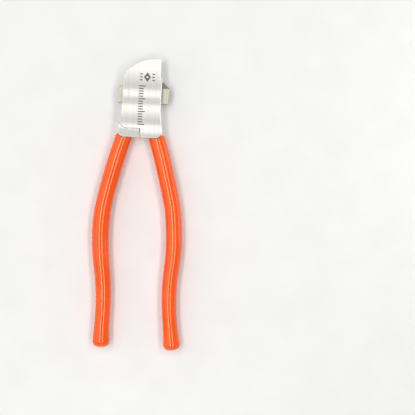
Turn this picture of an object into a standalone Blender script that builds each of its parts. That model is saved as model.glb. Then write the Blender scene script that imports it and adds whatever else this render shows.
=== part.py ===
"""Key-cutting pliers: a lever drives a V punch across a steel head with dipped handles.

The tool lies on its back, closed. Units are metres. The origin is on the head's back face, on the
centre line between the legs, at the height of the pivot. +X runs right across the head, +Y up to
its nose and +Z out of its front face.
"""

import math

import bmesh
import bpy
from mathutils import Vector

# Room between pieces that touch, the distance under which two points are one, and a length past
# every side of the head.
GAP = 0.0003
WELD = 0.00001
REACH = 0.1

# Layers of the head, from its back face to its front face.
BACK_TOP = 0.0047
MIDDLE_LOW = 0.0050
MIDDLE_TOP = 0.0127
FRONT_LOW = 0.0130
HEAD_TOP = 0.0180
MID_PLANE = 0.0090
CHAMFER = 0.0005

# Head outline: a round nose, a step in the right side, flared flanks and round lower corners.
NOSE_CENTRE = (0.0120, 0.0144)
NOSE_RADIUS = 0.0343
LEFT_SIDE = -0.0153
RIGHT_SIDE = 0.0150
STEP_SIDE = 0.0161
STEP_HEIGHT = 0.0327
STEP_SLOPE = 0.0006
LEFT_FLARE_TOP = 0.0200
LEFT_FLARE_RADIUS = 0.160
RIGHT_FLARE_TOP = 0.0110
RIGHT_FLARE_RADIUS = 0.105
FLARE_ANGLE = 10.9
CORNER_RADIUS = 0.0053
LEFT_CORNER = (-0.0128, -0.0103)
RIGHT_CORNER = (0.0129, -0.0103)
BOTTOM_RISE = 0.0003

# How finely the outline is divided. The flares stop short of the corners by FLARE_REST degrees.
NOSE_STEPS = 14
FLARE_STEPS = 8
FLARE_REST = 1
CORNER_STEPS = 10
SEAM_STEPS = 12

# The pivot, and the seam round it between the front plate and the left pad. Below the seam the two
# pads meet at a slit, which is wider at its top.
PIVOT = (-0.0102, -0.0013)
SEAM_RADIUS = 0.0071
SLIT_FLARE = 2.6
SLIT_FLARE_DEPTH = 0.0045
PIN_RADIUS = 0.0032
PIN_LOW = 0.0024
PIN_TOP = 0.0159
BUSH_RADIUS = 0.0041
WASHER_RADIUS = 0.0057
WASHER_HOLE = 0.0036

# The lever: it leans to the left when closed and as far to the right when open.
LEVER_LOW = 0.0058
LEVER_TOP = 0.0120
LEVER_LENGTH = 0.0180
LEVER_LEAN = 6.4
HUB_RADIUS = 0.0060
NECK_HALF = 0.0023
NECK_LOW = 0.0110
SHOULDER_HALF = 0.0054
SHOULDER_LOW = 0.0035
NOSE_PAD_RADIUS = 0.0032
FOOT_DEPTH = 0.0090

# The sliding bar, its tongue and its replaceable tip.
BAR_LOW = 0.0126
BAR_HIGH = 0.0250
BAR_LEFT = -0.0192
JOINT_X = 0.0057
TONGUE_HIGH = 0.0270
TONGUE_HALF = 0.0015
TONGUE_RIGHT = -0.0006
BAR_MIDDLE = (MIDDLE_LOW + MIDDLE_TOP) / 2
TENON_END = 0.0122
TENON_LOW = 0.0153
TENON_HIGH = 0.0223
TENON_HALF = 0.0016
SLOT_PLAY = 0.00005
BAR_CORNER = 0.0005
BAR_CHAMFER = 0.0003

# The V tooth: its blunt ridge, its cutting face and its sloping back.
TIP_LOW_RIGHT = 0.0217
TIP_HIGH_RIGHT = 0.0225
TOOTH_FACE = 0.0159
TOOTH_HIGH = 0.0303
TOOTH_APEX = 0.0307

# The die block over the bar.
DIE_LEFT = 0.0040
DIE_HIGH = 0.0380

# Boss of the right leg below the bar.
BOSS_LEFT = -0.0016
BOSS_HIGH = BAR_LOW - GAP

# Axes of the handles, as (x, y, radius) from the head down.
RIGHT_HANDLE = (
    (0.0104, -0.0050, 0.0066),
    (0.0161, -0.0225, 0.0067),
    (0.0213, -0.0400, 0.0068),
    (0.0277, -0.0645, 0.0067),
    (0.0303, -0.0780, 0.0067),
    (0.0319, -0.1000, 0.0067),
    (0.0315, -0.1130, 0.0065),
    (0.0303, -0.1270, 0.0063),
    (0.0298, -0.1400, 0.0062),
    (0.0306, -0.1570, 0.0060),
    (0.0321, -0.1690, 0.0061),
    (0.0334, -0.1790, 0.0067),
    (0.0339, -0.1822, 0.0070),
)
LEFT_HANDLE = (
    (-0.0100, -0.0050, 0.0066),
    (-0.0154, -0.0225, 0.0068),
    (-0.0201, -0.0400, 0.0069),
    (-0.0257, -0.0645, 0.0068),
    (-0.0277, -0.0780, 0.0070),
    (-0.0284, -0.0950, 0.0071),
    (-0.0271, -0.1130, 0.0069),
    (-0.0252, -0.1270, 0.0066),
    (-0.0237, -0.1400, 0.0064),
    (-0.0233, -0.1570, 0.0062),
    (-0.0236, -0.1690, 0.0063),
    (-0.0237, -0.1790, 0.0068),
    (-0.0236, -0.1822, 0.0070),
)
HANDLE_STEPS = 4
GRIP_TOP = -0.0128
END_LENGTH = 0.0046
END_BLUNTNESS = 0.6
END_RINGS = 6
END_ANGLE = 80
GRIP_RESOLUTION = 8
TANG_WIDTH = 0.0064
TANG_HEIGHT = 0.0080
TANG_CORNER = 0.0018
TANG_KNOTS = 10
TANG_START = 1
TANG_REFERENCE = 0.0066

# Screws and pins: places in the plane of the head, then their common sizes. A socket's size is a
# share of its head's radius.
PLATE_SCREWS = (
    (0.0119, 0.0074),
    (0.0026, -0.0042),
    (0.0126, -0.0042),
    (-0.0108, 0.0302),
    (-0.0034, 0.0400),
    (0.0108, 0.0437),
)
DIE_SCREWS = ((0.0064, 0.0352), (0.0116, 0.0352))
DOWELS = ((-0.0040, 0.0318), (0.0074, 0.0020))
PUNCH_SCREW = (0.0092, 0.0188)
SCREW_RADIUS = 0.0015
SCREW_HEAD_RADIUS = 0.0029
SMALL_SCREW_RADIUS = 0.00125
SMALL_HEAD_RADIUS = 0.0021
SCREW_RECESS = 0.0003
SOCKET_RADIUS = 0.45
SOCKET_DEPTH = 0.40
SCREW_TOP = 0.0156
DIE_SCREW_TOP = 0.0110
PIN_END_LOW = 0.0003
PIN_END_TOP = 0.0155
PIN_EASE = 0.0002
DOWEL_RADIUS = 0.0012
STOP_RADIUS = 0.0015
STOP_ROOM = 0.00015
PIVOT_SCREW_HEAD = 0.0046
PIVOT_SCREW_RADIUS = 0.0016
PIVOT_SCREW_TOP = 0.0080
PIVOT_HEAD_TOP = 0.0021
PIVOT_SCREW_EASE = 0.0003
PIVOT_SOCKET_RADIUS = 0.0019
PIVOT_SOCKET_DEPTH = 0.0014
ROUND_SIDES = 20
PIN_SIDES = 32
SHARP_ANGLE = 30

# Colours of the materials, with roughness and metallic values.
MATERIALS = {
    "polished_steel": ((0.80, 0.80, 0.78), 0.25, 1.0),
    "nickel_steel": ((0.52, 0.49, 0.43), 0.45, 1.0),
    "hard_steel": ((0.42, 0.42, 0.43), 0.35, 1.0),
    "black_screw": ((0.05, 0.05, 0.055), 0.40, 1.0),
    "bronze": ((0.62, 0.42, 0.20), 0.40, 1.0),
    "orange_vinyl": ((0.90, 0.13, 0.02), 0.25, 0.0),
}


def clear_scene():
    for item in list(bpy.data.objects):
        bpy.data.objects.remove(item)


def new_collection(name):
    collection = bpy.data.collections.new(name)
    bpy.context.scene.collection.children.link(collection)
    return collection


def new_material(name):
    colour, roughness, metallic = MATERIALS[name]
    material = bpy.data.materials.new(name)
    material.use_nodes = True
    shader = material.node_tree.nodes["Principled BSDF"]
    shader.inputs["Base Color"].default_value = (*colour, 1)
    shader.inputs["Roughness"].default_value = roughness
    shader.inputs["Metallic"].default_value = metallic
    material.diffuse_color = (*colour, 1)
    return material


def arc(centre, radius, start, end, steps):
    """Points on an arc, with its angles in degrees."""
    points = []
    for i in range(steps + 1):
        angle = math.radians(start + (end - start) * i / steps)
        points.append((centre[0] + radius * math.cos(angle), centre[1] + radius * math.sin(angle)))
    return points


def turn(point, degrees):
    """A point turned anticlockwise about the origin."""
    angle = math.radians(degrees)
    x = point[0] * math.cos(angle) - point[1] * math.sin(angle)
    y = point[0] * math.sin(angle) + point[1] * math.cos(angle)
    return x, y


# Shapes


def place(piece, home):
    home.objects.link(piece)
    return piece


def meshed(source, home):
    """Turns a curve object into a closed mesh object."""
    home.objects.link(source)
    bpy.context.view_layer.update()
    graph = bpy.context.evaluated_depsgraph_get()
    mesh = bpy.data.meshes.new_from_object(source.evaluated_get(graph))
    matrix = source.matrix_world.copy()
    name = source.name
    bpy.data.objects.remove(source)
    welded = bmesh.new()
    welded.from_mesh(mesh)
    bmesh.ops.remove_doubles(welded, verts=welded.verts, dist=WELD)
    bmesh.ops.dissolve_limit(
        welded, angle_limit=math.radians(0.1), verts=welded.verts, edges=welded.edges
    )
    bmesh.ops.recalc_face_normals(welded, faces=welded.faces)
    welded.to_mesh(mesh)
    welded.free()
    mesh.materials.clear()
    piece = bpy.data.objects.new(name, mesh)
    piece.matrix_world = matrix
    return place(piece, home)


def flat_curve(name, outline):
    curve = bpy.data.curves.new(name, "CURVE")
    curve.dimensions = "2D"
    curve.fill_mode = "BOTH"
    spline = curve.splines.new("POLY")
    spline.points.add(len(outline) - 1)
    for point, (x, y) in zip(spline.points, outline):
        point.co = (x, y, 0, 1)
    spline.use_cyclic_u = True
    return curve


def plate(name, outline, low, high, home):
    """A flat outline in X and Y, extruded from low to high along Z."""
    curve = flat_curve(name, outline)
    curve.extrude = (high - low) / 2
    source = bpy.data.objects.new(name, curve)
    source.location.z = (low + high) / 2
    return meshed(source, home)


def bar(name, outline, low, high, home):
    """An outline in Y and Z, extruded from low to high along X."""
    curve = flat_curve(name, outline)
    curve.extrude = (high - low) / 2
    source = bpy.data.objects.new(name, curve)
    source.location.x = (low + high) / 2
    source.rotation_euler = (math.radians(90), 0, math.radians(90))
    return meshed(source, home)


def box_outline(left, right, low, high):
    return [(left, low), (right, low), (right, high), (left, high)]


def turned(name, profile, centre, home, sides=ROUND_SIDES, ring=False):
    """A profile of (radius, z) points about a vertical axis. It starts at the top of its outside."""
    points = [(radius, 0, z) for radius, z in profile]
    edges = [(i, i + 1) for i in range(len(points) - 1)]
    if ring:
        edges.append((len(points) - 1, 0))
    mesh = bpy.data.meshes.new(name)
    mesh.from_pydata(points, edges, [])
    piece = bpy.data.objects.new(name, mesh)
    piece.location = (centre[0], centre[1], 0)
    screw = piece.modifiers.new("turn", "SCREW")
    screw.steps = sides
    screw.render_steps = sides
    screw.use_merge_vertices = True
    screw.merge_threshold = WELD
    screw.use_smooth_shade = True
    return place(piece, home)


def pin(name, centre, radius, low, high, home, sides=ROUND_SIDES):
    """An upright cylinder with small chamfers."""
    inner = radius - PIN_EASE
    profile = [(0, high), (inner, high), (radius, high - PIN_EASE)]
    profile += [(radius, low + PIN_EASE), (inner, low), (0, low)]
    return turned(name, profile, centre, home, sides)


def hole(centre, radius, low, high, home, sides=ROUND_SIDES):
    profile = [(0, high), (radius, high), (radius, low), (0, low)]
    return turned("hole", profile, centre, home, sides)


def boolean(piece, other, operation):
    modifier = piece.modifiers.new(other.name, "BOOLEAN")
    modifier.object = other
    modifier.operation = operation
    modifier.solver = "EXACT"


def cut(piece, *cutters):
    for cutter in cutters:
        boolean(piece, cutter, "DIFFERENCE")


def keep_inside(piece, region):
    boolean(piece, region, "INTERSECT")


def join(piece, *others):
    for other in others:
        boolean(piece, other, "UNION")


def chamfer(piece, width, angle=50):
    bevel = piece.modifiers.new("chamfer", "BEVEL")
    bevel.width = width
    bevel.segments = 1
    bevel.limit_method = "ANGLE"
    bevel.angle_limit = math.radians(angle)


# Head


def head_foot(growth=0.0):
    """The lower edge of the head from right to left, grown outwards by growth."""
    radius = CORNER_RADIUS + growth
    right = arc(RIGHT_CORNER, radius, FLARE_ANGLE, -90, CORNER_STEPS)
    left = arc(LEFT_CORNER, radius, -90, -180 - FLARE_ANGLE, CORNER_STEPS)
    middle_x = (RIGHT_CORNER[0] + LEFT_CORNER[0]) / 2
    middle = [(middle_x, RIGHT_CORNER[1] - radius + BOTTOM_RISE)]
    return right + middle + left


def head_outline():
    """The whole head, clockwise from its top right corner."""
    right_angle = math.degrees(math.acos((RIGHT_SIDE - NOSE_CENTRE[0]) / NOSE_RADIUS))
    left_angle = math.degrees(math.acos((LEFT_SIDE - NOSE_CENTRE[0]) / NOSE_RADIUS))
    nose = arc(NOSE_CENTRE, NOSE_RADIUS, left_angle, right_angle, NOSE_STEPS)
    step = [(RIGHT_SIDE, STEP_HEIGHT + STEP_SLOPE), (STEP_SIDE, STEP_HEIGHT - STEP_SLOPE)]
    right_centre = (STEP_SIDE + RIGHT_FLARE_RADIUS, RIGHT_FLARE_TOP)
    angle = FLARE_ANGLE - FLARE_REST
    right_flare = arc(right_centre, RIGHT_FLARE_RADIUS, 180, 180 + angle, FLARE_STEPS)
    left_centre = (LEFT_SIDE - LEFT_FLARE_RADIUS, LEFT_FLARE_TOP)
    left_flare = arc(left_centre, LEFT_FLARE_RADIUS, -angle, 0, FLARE_STEPS)
    return nose + step + right_flare + head_foot() + left_flare


def left_region(offset):
    """The part of the head that belongs to the left pad, with its edges moved by offset."""
    radius = SEAM_RADIUS + offset
    low = PIVOT[1] - radius
    seam = arc(PIVOT, radius, 180, 270, SEAM_STEPS)
    slit = [(-offset * SLIT_FLARE, low), (-offset, low - SLIT_FLARE_DEPTH), (-offset, -REACH)]
    return [(-REACH, PIVOT[1])] + seam + slit + [(-REACH, -REACH)]


def lever_point(across, along, lean=LEVER_LEAN):
    """A point of the lever, given across and along its arm, when it leans to the left by lean."""
    x, y = turn((across, along), lean)
    return PIVOT[0] + x, PIVOT[1] + y


def lever_outline():
    """The lever inside the head: round nose, neck, arm, hub and a foot that runs into the pad."""
    nose_end = math.degrees(math.acos(NECK_HALF / NOSE_PAD_RADIUS))
    nose = arc((0, LEVER_LENGTH), NOSE_PAD_RADIUS, -nose_end, 180 + nose_end, NOSE_STEPS)
    left = [(-NECK_HALF, NECK_LOW), (-SHOULDER_HALF, SHOULDER_LOW)]
    right = [(SHOULDER_HALF, SHOULDER_LOW), (NECK_HALF, NECK_LOW)]
    arm = [lever_point(*point) for point in left]
    back = [lever_point(*point) for point in right]
    foot_low = PIVOT[1] - FOOT_DEPTH
    foot = [
        (PIVOT[0] - HUB_RADIUS, PIVOT[1]),
        (PIVOT[0] - HUB_RADIUS - 2 * GAP, foot_low),
        (PIVOT[0] + HUB_RADIUS + 2 * GAP, foot_low),
        (PIVOT[0] + HUB_RADIUS, PIVOT[1]),
    ]
    return [lever_point(*point) for point in nose] + arm + foot + back


def stop_place():
    """Where the stop pin touches the right flank of the open lever."""
    low = Vector((SHOULDER_HALF, SHOULDER_LOW))
    high = Vector((NECK_HALF, NECK_LOW))
    flank = (high - low).normalized()
    outward = Vector((flank.y, -flank.x))
    middle = (low + high) / 2 + outward * (STOP_RADIUS + STOP_ROOM)
    return lever_point(middle.x, middle.y, -LEVER_LEAN)


def screw_hole(centre, radius, head_radius, high, home, low=0.0):
    """A clearance hole with a countersink that opens at low."""
    wide = head_radius + GAP
    narrow = radius + GAP
    mouth = low - GAP
    depth = wide - narrow
    profile = [(0, high), (narrow, high), (narrow, low + depth + GAP)]
    profile += [(wide, low + GAP), (wide, mouth), (0, mouth)]
    return turned("screw_hole", profile, centre, home)


def countersunk_screw(name, centre, radius, head_radius, low, high, home, cutters):
    """A screw whose head is at low, with a hexagonal socket."""
    flat = low + PIN_EASE
    profile = [(0, high), (radius - PIN_EASE, high), (radius, high - PIN_EASE)]
    profile += [(radius, flat + head_radius - radius), (head_radius, flat), (head_radius, low), (0, low)]
    piece = turned(name, profile, centre, home)
    socket_top = low + SOCKET_DEPTH * head_radius
    socket = hole(centre, SOCKET_RADIUS * head_radius, low - GAP, socket_top, cutters, 6)
    cut(piece, socket)
    return piece


def drill_from_back(piece, cutters, high):
    """Every hole that the back plate, the spacer and the front plate have in common."""
    for centre in PLATE_SCREWS:
        cut(piece, screw_hole(centre, SCREW_RADIUS, SCREW_HEAD_RADIUS, high, cutters))
    for centre in DOWELS:
        cut(piece, hole(centre, DOWEL_RADIUS + GAP, -GAP, high, cutters))
    cut(piece, hole(stop_place(), STOP_RADIUS + GAP, -GAP, high, cutters))


def make_right_leg(parts, cutters):
    """Front plate, boss and right pad in one piece, with the tang of the right handle."""
    leg = plate("right_leg", head_outline(), 0, HEAD_TOP, parts)
    chamfer(leg, CHAMFER)
    cut(leg, plate("left_side", left_region(-GAP / 2), -REACH, REACH, cutters))
    seam_low = PIVOT[1] - SEAM_RADIUS - GAP / 2
    back_room = box_outline(-REACH, REACH, seam_low, REACH)
    cut(leg, plate("back_room", back_room, -REACH, MIDDLE_LOW, cutters))
    middle_room = [(-REACH, -REACH), (BOSS_LEFT, -REACH), (BOSS_LEFT, BOSS_HIGH)]
    middle_room += [(REACH, BOSS_HIGH), (REACH, REACH), (-REACH, REACH)]
    cut(leg, plate("middle_room", middle_room, MIDDLE_LOW - GAP, FRONT_LOW, cutters))
    drill_from_back(leg, cutters, SCREW_TOP + GAP)
    cut(leg, hole(PIVOT, PIN_RADIUS + GAP, 0, PIN_TOP + GAP, cutters, PIN_SIDES))
    join(leg, tang("right_tang", RIGHT_HANDLE, 0, cutters))
    return leg


def make_left_leg(parts, cutters):
    """Left pad, with the lever that reaches into the head and the tang of the left handle."""
    leg = plate("left_leg", head_outline(), 0, HEAD_TOP, parts)
    chamfer(leg, CHAMFER)
    keep_inside(leg, plate("left_only", left_region(GAP / 2), -REACH, REACH, cutters))
    join(leg, plate("lever", lever_outline(), LEVER_LOW, LEVER_TOP, cutters))
    cut(leg, hole(PIVOT, BUSH_RADIUS + GAP, 0, HEAD_TOP + GAP, cutters, PIN_SIDES))
    join(leg, tang("left_tang", LEFT_HANDLE, 0, cutters))
    return leg


def make_back_plate(parts, cutters):
    back = plate("back_plate", head_outline(), 0, BACK_TOP, parts)
    chamfer(back, CHAMFER)
    seam_low = PIVOT[1] - SEAM_RADIUS + GAP / 2
    cut(back, plate("left_corner", left_region(-GAP / 2), -REACH, REACH, cutters))
    below = box_outline(-GAP, REACH, -REACH, seam_low)
    cut(back, plate("below_back", below, -REACH, REACH, cutters))
    drill_from_back(back, cutters, REACH)
    for centre in DIE_SCREWS:
        cut(back, screw_hole(centre, SMALL_SCREW_RADIUS, SMALL_HEAD_RADIUS, REACH, cutters))
    bore = [(0, REACH), (PIN_RADIUS + GAP, REACH), (PIN_RADIUS + GAP, PIVOT_HEAD_TOP + GAP)]
    bore += [(PIVOT_SCREW_HEAD + GAP, PIVOT_HEAD_TOP + GAP), (PIVOT_SCREW_HEAD + GAP, -GAP), (0, -GAP)]
    cut(back, turned("pivot_bore", bore, PIVOT, cutters, PIN_SIDES))
    return back


def make_top_spacer(parts, cutters):
    """Fills the nose round the die block, with a groove for the bar's tongue."""
    spacer = plate("top_spacer", head_outline(), MIDDLE_LOW, MIDDLE_TOP, parts)
    bottom = BAR_HIGH + GAP
    region = [(-REACH, bottom), (DIE_LEFT - GAP, bottom), (DIE_LEFT - GAP, DIE_HIGH + GAP)]
    region += [(REACH, DIE_HIGH + GAP), (REACH, REACH), (-REACH, REACH)]
    keep_inside(spacer, plate("nose_region", region, -REACH, REACH, cutters))
    half = TONGUE_HALF + GAP
    groove = box_outline(0, TONGUE_HIGH + GAP, BAR_MIDDLE - half, BAR_MIDDLE + half)
    cut(spacer, bar("groove", groove, -REACH, REACH, cutters))
    drill_from_back(spacer, cutters, REACH)
    return spacer


def tooth_section(growth, apex, base):
    """The V of the tooth in Y and Z on top of the bar, grown outwards by growth."""
    half = (MIDDLE_TOP - MIDDLE_LOW) / 2
    slope = math.atan2(half, apex - BAR_HIGH)
    top = apex + growth / math.sin(slope)
    wide = half + growth / math.cos(slope)
    points = [(base, BAR_MIDDLE - wide), (BAR_HIGH, BAR_MIDDLE - wide), (top, BAR_MIDDLE)]
    return points + [(BAR_HIGH, BAR_MIDDLE + wide), (base, BAR_MIDDLE + wide)]


def make_die_block(parts, cutters):
    outline = box_outline(DIE_LEFT, REACH, BAR_HIGH + GAP, DIE_HIGH)
    die = plate("die_block", head_outline(), MIDDLE_LOW, MIDDLE_TOP, parts)
    keep_inside(die, plate("die_region", outline, -REACH, REACH, cutters))
    cut(die, bar("die_channel", tooth_section(GAP, TOOTH_APEX, 0), -REACH, REACH, cutters))
    for centre in DIE_SCREWS:
        cut(die, hole(centre, SMALL_SCREW_RADIUS + GAP, 0, DIE_SCREW_TOP + GAP, cutters))
    return die


def make_slide_bar(parts, cutters):
    """The bar, with a notch for the lever's nose, a guide tongue and a tenon for the tip."""
    inner = BAR_LEFT + BAR_CORNER
    outline = [(inner, BAR_LOW), (JOINT_X, BAR_LOW), (JOINT_X, BAR_HIGH), (inner, BAR_HIGH)]
    outline += [(BAR_LEFT, BAR_HIGH - BAR_CORNER), (BAR_LEFT, BAR_LOW + BAR_CORNER)]
    slide = plate("slide_bar", outline, MIDDLE_LOW, MIDDLE_TOP, parts)
    chamfer(slide, BAR_CHAMFER)
    tongue = box_outline(BAR_HIGH - 2 * GAP, TONGUE_HIGH, BAR_MIDDLE - TONGUE_HALF, BAR_MIDDLE + TONGUE_HALF)
    join(slide, bar("tongue", tongue, BAR_LEFT + GAP, TONGUE_RIGHT, cutters))
    tenon = box_outline(TENON_LOW, TENON_HIGH, BAR_MIDDLE - TENON_HALF, BAR_MIDDLE + TENON_HALF)
    join(slide, bar("tenon", tenon, JOINT_X - 4 * GAP, TENON_END, cutters))
    middle, height = lever_point(0, LEVER_LENGTH)
    half = NOSE_PAD_RADIUS + SLOT_PLAY
    rise = LEVER_LENGTH * (1 - math.cos(math.radians(LEVER_LEAN)))
    notch = box_outline(middle - half, middle + half, -REACH, height + NOSE_PAD_RADIUS + rise + GAP)
    cut(slide, plate("notch", notch, -REACH, REACH, cutters))
    cut(slide, hole(PUNCH_SCREW, SMALL_SCREW_RADIUS + GAP, 0, HEAD_TOP, cutters))
    return slide


def make_punch_tip(parts, cutters):
    """The replaceable tip. Its V tooth slopes at 45 degrees behind the cutting face."""
    left = JOINT_X + GAP
    back = TIP_HIGH_RIGHT - (TOOTH_HIGH - BAR_HIGH)
    outline = [(left, BAR_LOW), (TIP_LOW_RIGHT, BAR_LOW), (TIP_HIGH_RIGHT, BAR_HIGH)]
    outline += [(back, TOOTH_HIGH), (TOOTH_FACE, TOOTH_HIGH), (TOOTH_FACE, BAR_HIGH), (left, BAR_HIGH)]
    tip = plate("punch_tip", outline, 0, HEAD_TOP, parts)
    keep_inside(tip, bar("tooth_form", tooth_section(0, TOOTH_APEX, 0), -REACH, REACH, cutters))
    half = TENON_HALF + GAP
    socket = box_outline(TENON_LOW - GAP, TENON_HIGH + GAP, BAR_MIDDLE - half, BAR_MIDDLE + half)
    cut(tip, bar("socket", socket, 0, TENON_END + GAP, cutters))
    cut(tip, screw_hole(PUNCH_SCREW, SMALL_SCREW_RADIUS, SMALL_HEAD_RADIUS, REACH, cutters, MIDDLE_LOW))
    return tip


# Handles


def smooth(knots, steps):
    """Points on a Catmull-Rom curve through the knots, steps to each span."""
    padded = [knots[0]] + list(knots) + [knots[-1]]
    points = []
    for before, start, end, after in zip(padded, padded[1:], padded[2:], padded[3:]):
        for i in range(steps):
            t = i / steps
            point = []
            for a, b, c, d in zip(before, start, end, after):
                bend = (2 * a - 5 * b + 4 * c - d) * t * t + (3 * b - a - 3 * c + d) * t**3
                point.append(b + ((c - a) * t + bend) / 2)
            points.append(tuple(point))
    return points + [tuple(knots[-1])]


def rounded_end(path):
    """Carries the path on through a blunt round end."""
    last = Vector(path[-1][:2])
    heading = (last - Vector(path[-2][:2])).normalized()
    end = []
    for i in range(1, END_RINGS + 1):
        angle = math.radians(END_ANGLE * i / END_RINGS)
        x, y = last + heading * END_LENGTH * math.sin(angle)
        end.append((x, y, path[-1][2] * math.cos(angle) ** END_BLUNTNESS))
    return path + end


def path_curve(name, path, reference):
    """A curve along the path, in the middle plane, whose section scales with the path's radius."""
    curve = bpy.data.curves.new(name, "CURVE")
    curve.dimensions = "3D"
    curve.twist_mode = "Z_UP"
    curve.use_fill_caps = True
    spline = curve.splines.new("POLY")
    spline.points.add(len(path) - 1)
    for point, (x, y, radius) in zip(spline.points, path):
        point.co = (x, y, MID_PLANE, 1)
        point.radius = radius / reference
    return curve


def section_curve(width, height, corner):
    """A rectangle with cut corners, as a section for a swept bar."""
    outline = []
    for x, y in ((1, 1), (-1, 1), (-1, -1), (1, -1)):
        near = (x * (width / 2 - corner), y * height / 2)
        far = (x * width / 2, y * (height / 2 - corner))
        outline += [far, near] if x == y else [near, far]
    return flat_curve("section", outline)


def tang(name, handle, growth, home):
    """The flat steel bar inside a grip, grown outwards by growth."""
    path = smooth(handle[:TANG_KNOTS], HANDLE_STEPS)[TANG_START:]
    if growth:
        last = Vector(path[-1][:2])
        heading = (last - Vector(path[-2][:2])).normalized()
        path.append((*(last + heading * 2 * growth), path[-1][2]))
    curve = path_curve(name, path, TANG_REFERENCE)
    grown = 2 * growth
    section = bpy.data.objects.new(
        "section", section_curve(TANG_WIDTH + grown, TANG_HEIGHT + grown, TANG_CORNER)
    )
    home.objects.link(section)
    curve.bevel_mode = "OBJECT"
    curve.bevel_object = section
    piece = meshed(bpy.data.objects.new(name, curve), home)
    bpy.data.objects.remove(section)
    return piece


def make_grip(name, handle, parts, cutters):
    """A dipped grip with a round end, hollow over the tang and cut to the head's lower edge."""
    curve = path_curve(name, rounded_end(smooth(handle, HANDLE_STEPS)), 1.0)
    curve.bevel_depth = 1.0
    curve.bevel_resolution = GRIP_RESOLUTION
    grip = meshed(bpy.data.objects.new(name, curve), parts)
    foot = [point for point in head_foot(GAP) if point[1] < GRIP_TOP]
    above = [(REACH, GRIP_TOP)] + foot + [(-REACH, GRIP_TOP), (-REACH, REACH), (REACH, REACH)]
    cut(grip, plate(name + "_top", above, -REACH, REACH, cutters))
    cut(grip, tang(name + "_bore", handle, GAP, cutters))
    return grip


# Pivot, pins and screws


def make_pivot(parts, cutters):
    pivot = pin("pivot_pin", PIVOT, PIN_RADIUS, PIN_LOW, PIN_TOP, parts, PIN_SIDES)
    thread = PIVOT_SCREW_RADIUS + GAP
    cut(pivot, hole(PIVOT, thread, 0, PIVOT_SCREW_TOP + GAP, cutters))
    inner = PIN_RADIUS + GAP / 2
    bush = [(BUSH_RADIUS, LEVER_TOP), (BUSH_RADIUS, LEVER_LOW), (inner, LEVER_LOW), (inner, LEVER_TOP)]
    sleeve = turned("pivot_bush", bush, PIVOT, parts, PIN_SIDES, ring=True)
    low = LEVER_TOP + GAP
    high = FRONT_LOW - GAP / 2
    washer = [(WASHER_RADIUS, high), (WASHER_RADIUS, low), (WASHER_HOLE, low), (WASHER_HOLE, high)]
    thrust = turned("thrust_washer", washer, PIVOT, parts, PIN_SIDES, ring=True)
    screw = make_pivot_screw(parts, cutters)
    return pivot, sleeve, thrust, screw


def make_pivot_screw(parts, cutters):
    """A flat head in the back plate, with a hexagonal socket."""
    low = SCREW_RECESS
    top = PIVOT_SCREW_TOP
    profile = [(0, top), (PIVOT_SCREW_RADIUS, top), (PIVOT_SCREW_RADIUS, PIVOT_HEAD_TOP)]
    profile += [(PIVOT_SCREW_HEAD, PIVOT_HEAD_TOP), (PIVOT_SCREW_HEAD, low + PIVOT_SCREW_EASE)]
    profile += [(PIVOT_SCREW_HEAD - PIVOT_SCREW_EASE, low), (0, low)]
    screw = turned("pivot_screw", profile, PIVOT, parts, PIN_SIDES)
    cut(screw, hole(PIVOT, PIVOT_SOCKET_RADIUS, low - GAP, low + PIVOT_SOCKET_DEPTH, cutters, 6))
    return screw


def make_wave_washer(parts):
    """A thin spring ring with three waves."""
    waves = 3
    sides = 36
    wave_height = 0.0001
    width = WASHER_RADIUS - WASHER_HOLE
    thickness = 0.0003
    middle = (WASHER_RADIUS + WASHER_HOLE) / 2
    height = (BACK_TOP + LEVER_LOW) / 2
    curve = bpy.data.curves.new("wave_washer", "CURVE")
    curve.dimensions = "3D"
    curve.twist_mode = "Z_UP"
    spline = curve.splines.new("POLY")
    spline.points.add(sides - 1)
    spline.use_cyclic_u = True
    for i, point in enumerate(spline.points):
        angle = 2 * math.pi * i / sides
        x = PIVOT[0] + middle * math.cos(angle)
        y = PIVOT[1] + middle * math.sin(angle)
        point.co = (x, y, height + wave_height * math.sin(waves * angle), 1)
    section = flat_curve("section", box_outline(-width / 2, width / 2, -thickness / 2, thickness / 2))
    shape = bpy.data.objects.new("section", section)
    parts.objects.link(shape)
    curve.bevel_mode = "OBJECT"
    curve.bevel_object = shape
    washer = meshed(bpy.data.objects.new("wave_washer", curve), parts)
    bpy.data.objects.remove(shape)
    return washer


def make_screws(parts, cutters):
    screws = []
    for i, centre in enumerate(PLATE_SCREWS, 1):
        name = f"plate_screw_{i}"
        sizes = (SCREW_RADIUS, SCREW_HEAD_RADIUS, SCREW_RECESS, SCREW_TOP)
        screws.append(countersunk_screw(name, centre, *sizes, parts, cutters))
    for i, centre in enumerate(DIE_SCREWS, 1):
        name = f"die_screw_{i}"
        sizes = (SMALL_SCREW_RADIUS, SMALL_HEAD_RADIUS, SCREW_RECESS, DIE_SCREW_TOP)
        screws.append(countersunk_screw(name, centre, *sizes, parts, cutters))
    sizes = (SMALL_SCREW_RADIUS, SMALL_HEAD_RADIUS, MIDDLE_LOW + GAP, MIDDLE_TOP - GAP)
    screws.append(countersunk_screw("punch_screw", PUNCH_SCREW, *sizes, parts, cutters))
    return screws


def make_pins(parts):
    pins = []
    for i, centre in enumerate(DOWELS, 1):
        pins.append(pin(f"dowel_{i}", centre, DOWEL_RADIUS, PIN_END_LOW, PIN_END_TOP, parts))
    pins.append(pin("stop_pin", stop_place(), STOP_RADIUS, PIN_END_LOW, PIN_END_TOP, parts))
    return pins


def finish(pieces, material):
    """Gives pieces their material, and smooth shading with sharp edges."""
    for piece in pieces:
        piece.data.materials.append(material)
        piece.data.shade_smooth()
        piece.data.set_sharp_from_angle(angle=math.radians(SHARP_ANGLE))


def hide(cutters):
    for cutter in cutters.objects:
        cutter.hide_render = True
        cutter.display_type = "WIRE"


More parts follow.
